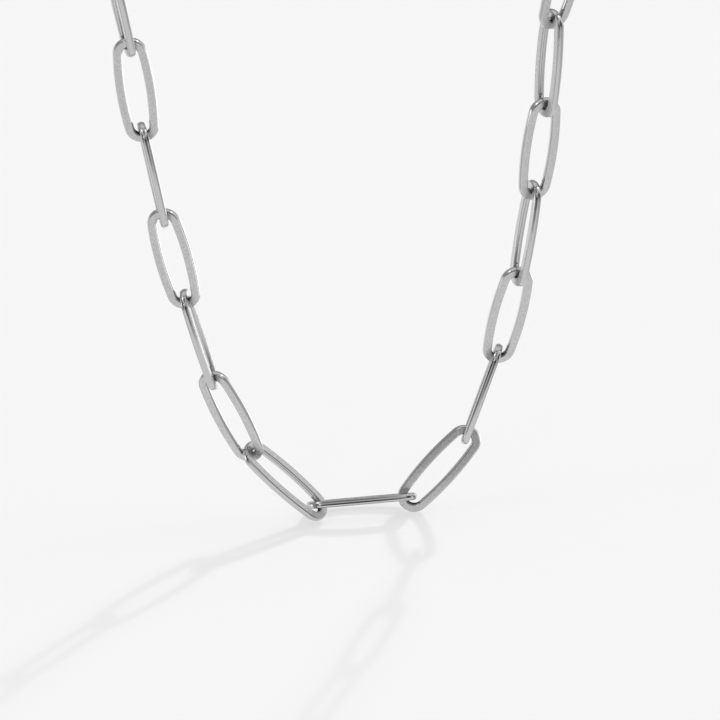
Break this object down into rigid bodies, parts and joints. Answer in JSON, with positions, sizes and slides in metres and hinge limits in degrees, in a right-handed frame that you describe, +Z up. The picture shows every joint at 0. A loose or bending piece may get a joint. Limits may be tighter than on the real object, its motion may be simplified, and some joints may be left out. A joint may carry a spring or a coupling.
{
  "type": "paperclip chain necklace",
  "caption": "Paperclip chain necklace of long flat-faced oval links with polished sides, closed by a small plain clasp and hung as it drapes round a neck.",
  "frame": {"origin": "the middle of the clasp, where the necklace lies on the nape of the neck", "axes": "+Z up, +X to the wearer's left and to the right of the picture, -Y to the front, where the chain hangs lowest"},
  "size_m": [0.0953, 0.0767, 0.157],
  "materials": {
    "silver_metal": "silver-coloured metal, fine satin grain on the flat faces and polished sides"
  },
  "bodies": {
    "root": {"link_01": "silver_metal", "link_02": "silver_metal", "link_03": "silver_metal", "link_04": "silver_metal", "link_05": "silver_metal", "link_06": "silver_metal", "link_07": "silver_metal", "link_08": "silver_metal", "link_09": "silver_metal", "link_10": "silver_metal", "link_11": "silver_metal", "link_12": "silver_metal", "link_13": "silver_metal", "link_14": "silver_metal", "link_15": "silver_metal", "link_16": "silver_metal", "link_17": "silver_metal", "link_18": "silver_metal", "link_19": "silver_metal", "link_20": "silver_metal", "link_21": "silver_metal", "link_22": "silver_metal", "link_23": "silver_metal", "link_24": "silver_metal", "link_25": "silver_metal", "link_26": "silver_metal", "link_27": "silver_metal", "link_28": "silver_metal", "link_29": "silver_metal", "link_30": "silver_metal", "link_31": "silver_metal", "link_32": "silver_metal", "link_33": "silver_metal", "clasp": "silver_metal"}
  },
  "joints": []
}
